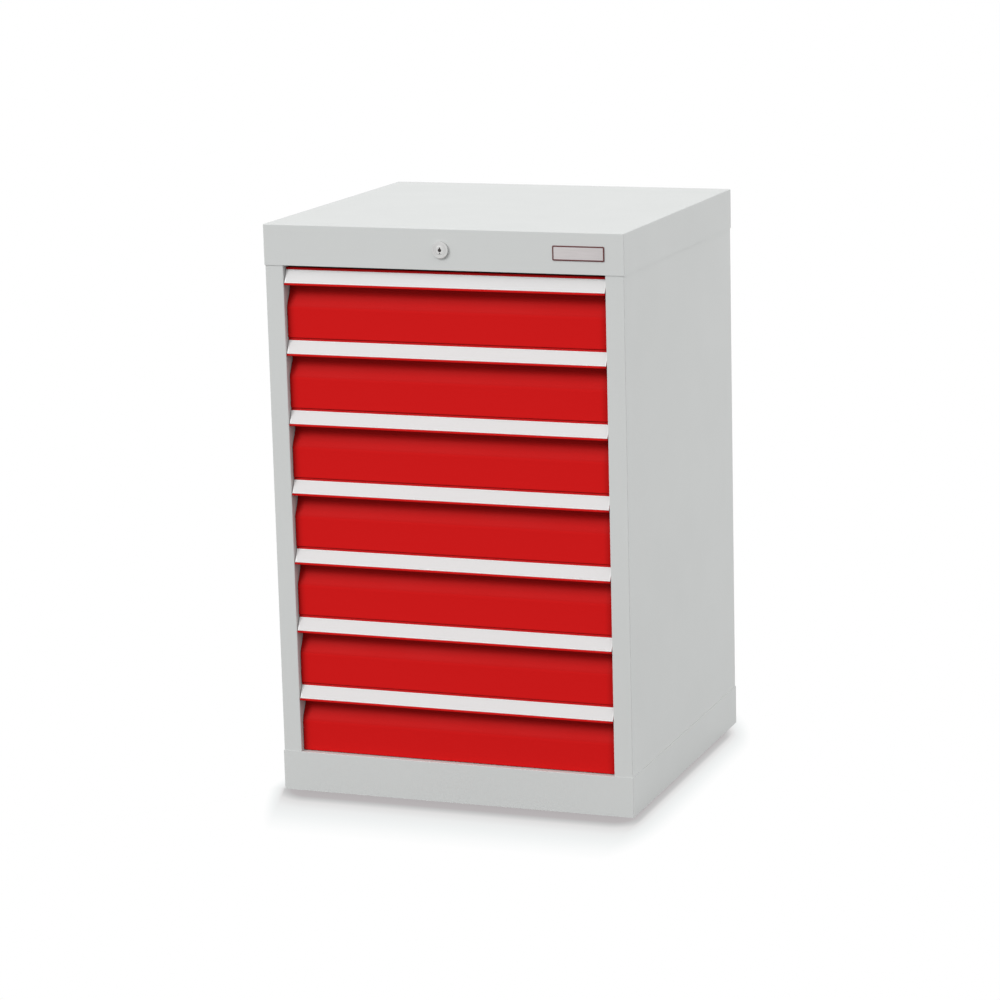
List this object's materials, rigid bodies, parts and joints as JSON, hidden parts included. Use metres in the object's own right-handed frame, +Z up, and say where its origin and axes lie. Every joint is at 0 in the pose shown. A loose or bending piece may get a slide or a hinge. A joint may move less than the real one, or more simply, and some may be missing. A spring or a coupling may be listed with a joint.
{
  "type": "drawer cabinet",
  "caption": "Free-standing steel drawer cabinet with stacked full-extension drawers, recessed grip fronts with label strips, a header with a cylinder lock and a central locking bar.",
  "frame": {"origin": "on the floor, at the middle of the housing's outline, so the lock's rosette alone stands out past it", "axes": "+Z up, +X to the right seen from the front, the drawers open towards -Y"},
  "size_m": [0.53, 0.504, 0.819],
  "materials": {
    "housing_paint": "satin light grey powder coat",
    "drawer_paint": "satin red powder coat",
    "tray_paint": "satin light grey powder coat",
    "label_white": "smooth off-white",
    "galvanised_steel": "zinc coated",
    "roller_steel": "ground",
    "zinc_steel": "bright zinc",
    "lock_metal": "satin nickel",
    "guide_plastic": "moulded",
    "plate_metal": "satin, bare"
  },
  "bodies": {
    "housing": {"top_cover": "housing_paint", "base_plinth": "housing_paint", "floor_panel": "housing_paint", "left_side_panel": "housing_paint", "right_side_panel": "housing_paint", "back_panel": "housing_paint", "rail_uprights": "galvanised_steel", "left_cabinet_rails": "galvanised_steel", "right_cabinet_rails": "galvanised_steel", "rail_screws": "zinc_steel", "name_plate": "plate_metal", "lock_housing": "lock_metal", "lock_nut": "zinc_steel", "lock_guides": "guide_plastic"},
    "drawer_1": {"drawer_front_1": "drawer_paint", "label_strip_1": "label_white", "drawer_tray_1": "tray_paint", "drawer_rails_1": "galvanised_steel"},
    "carriages_1": {"slide_carriages_1": "galvanised_steel", "slide_rollers_1": "roller_steel"},
    "drawer_2": {"drawer_front_2": "drawer_paint", "label_strip_2": "label_white", "drawer_tray_2": "tray_paint", "drawer_rails_2": "galvanised_steel"},
    "carriages_2": {"slide_carriages_2": "galvanised_steel", "slide_rollers_2": "roller_steel"},
    "drawer_3": {"drawer_front_3": "drawer_paint", "label_strip_3": "label_white", "drawer_tray_3": "tray_paint", "drawer_rails_3": "galvanised_steel"},
    "carriages_3": {"slide_carriages_3": "galvanised_steel", "slide_rollers_3": "roller_steel"},
    "drawer_4": {"drawer_front_4": "drawer_paint", "label_strip_4": "label_white", "drawer_tray_4": "tray_paint", "drawer_rails_4": "galvanised_steel"},
    "carriages_4": {"slide_carriages_4": "galvanised_steel", "slide_rollers_4": "roller_steel"},
    "drawer_5": {"drawer_front_5": "drawer_paint", "label_strip_5": "label_white", "drawer_tray_5": "tray_paint", "drawer_rails_5": "galvanised_steel"},
    "carriages_5": {"slide_carriages_5": "galvanised_steel", "slide_rollers_5": "roller_steel"},
    "drawer_6": {"drawer_front_6": "drawer_paint", "label_strip_6": "label_white", "drawer_tray_6": "tray_paint", "drawer_rails_6": "galvanised_steel"},
    "carriages_6": {"slide_carriages_6": "galvanised_steel", "slide_rollers_6": "roller_steel"},
    "drawer_7": {"drawer_front_7": "drawer_paint", "label_strip_7": "label_white", "drawer_tray_7": "tray_paint", "drawer_rails_7": "galvanised_steel"},
    "carriages_7": {"slide_carriages_7": "galvanised_steel", "slide_rollers_7": "roller_steel"},
    "lock": {"lock_plug": "lock_metal", "lock_cam": "zinc_steel"},
    "transfer_rod": {"transfer_rod": "zinc_steel"},
    "locking_bar": {"locking_bar": "zinc_steel"}
  },
  "joints": [
    {"name": "drawer_1_slide", "type": "slide", "parent": "housing", "child": "drawer_1", "axis": [0, -1, 0], "range_m": [0, 0.4]},
    {"name": "carriages_1_slide", "type": "slide", "parent": "housing", "child": "carriages_1", "axis": [0, -1, 0], "range_m": [0, 0.2]},
    {"name": "drawer_2_slide", "type": "slide", "parent": "housing", "child": "drawer_2", "axis": [0, -1, 0], "range_m": [0, 0.4]},
    {"name": "carriages_2_slide", "type": "slide", "parent": "housing", "child": "carriages_2", "axis": [0, -1, 0], "range_m": [0, 0.2]},
    {"name": "drawer_3_slide", "type": "slide", "parent": "housing", "child": "drawer_3", "axis": [0, -1, 0], "range_m": [0, 0.4]},
    {"name": "carriages_3_slide", "type": "slide", "parent": "housing", "child": "carriages_3", "axis": [0, -1, 0], "range_m": [0, 0.2]},
    {"name": "drawer_4_slide", "type": "slide", "parent": "housing", "child": "drawer_4", "axis": [0, -1, 0], "range_m": [0, 0.4]},
    {"name": "carriages_4_slide", "type": "slide", "parent": "housing", "child": "carriages_4", "axis": [0, -1, 0], "range_m": [0, 0.2]},
    {"name": "drawer_5_slide", "type": "slide", "parent": "housing", "child": "drawer_5", "axis": [0, -1, 0], "range_m": [0, 0.4]},
    {"name": "carriages_5_slide", "type": "slide", "parent": "housing", "child": "carriages_5", "axis": [0, -1, 0], "range_m": [0, 0.2]},
    {"name": "drawer_6_slide", "type": "slide", "parent": "housing", "child": "drawer_6", "axis": [0, -1, 0], "range_m": [0, 0.4]},
    {"name": "carriages_6_slide", "type": "slide", "parent": "housing", "child": "carriages_6", "axis": [0, -1, 0], "range_m": [0, 0.2]},
    {"name": "drawer_7_slide", "type": "slide", "parent": "housing", "child": "drawer_7", "axis": [0, -1, 0], "range_m": [0, 0.4]},
    {"name": "carriages_7_slide", "type": "slide", "parent": "housing", "child": "carriages_7", "axis": [0, -1, 0], "range_m": [0, 0.2]},
    {"name": "locking_bar_lift", "type": "slide", "parent": "housing", "child": "locking_bar", "axis": [0, 0, 1], "range_m": [0, 0.01414]},
    {"name": "transfer_rod_slide", "type": "slide", "parent": "housing", "child": "transfer_rod", "axis": [-1, 0, 0], "range_m": [0, 0.01414]},
    {"name": "lock_turn", "type": "hinge", "parent": "housing", "child": "lock", "pos_m": [0, -0.25, 0.79], "axis": [0, 1, 0], "range_deg": [0, 90]}
  ],
  "couplings": [
    {"joint": "carriages_1_slide", "follows": "drawer_1_slide", "ratio": 0.5},
    {"joint": "carriages_2_slide", "follows": "drawer_2_slide", "ratio": 0.5},
    {"joint": "carriages_3_slide", "follows": "drawer_3_slide", "ratio": 0.5},
    {"joint": "carriages_4_slide", "follows": "drawer_4_slide", "ratio": 0.5},
    {"joint": "carriages_5_slide", "follows": "drawer_5_slide", "ratio": 0.5},
    {"joint": "carriages_6_slide", "follows": "drawer_6_slide", "ratio": 0.5},
    {"joint": "carriages_7_slide", "follows": "drawer_7_slide", "ratio": 0.5},
    {"joint": "transfer_rod_slide", "follows": "locking_bar_lift", "ratio": 1},
    {"joint": "lock_turn", "follows": "locking_bar_lift", "rad_per_m": 111.07}
  ]
}
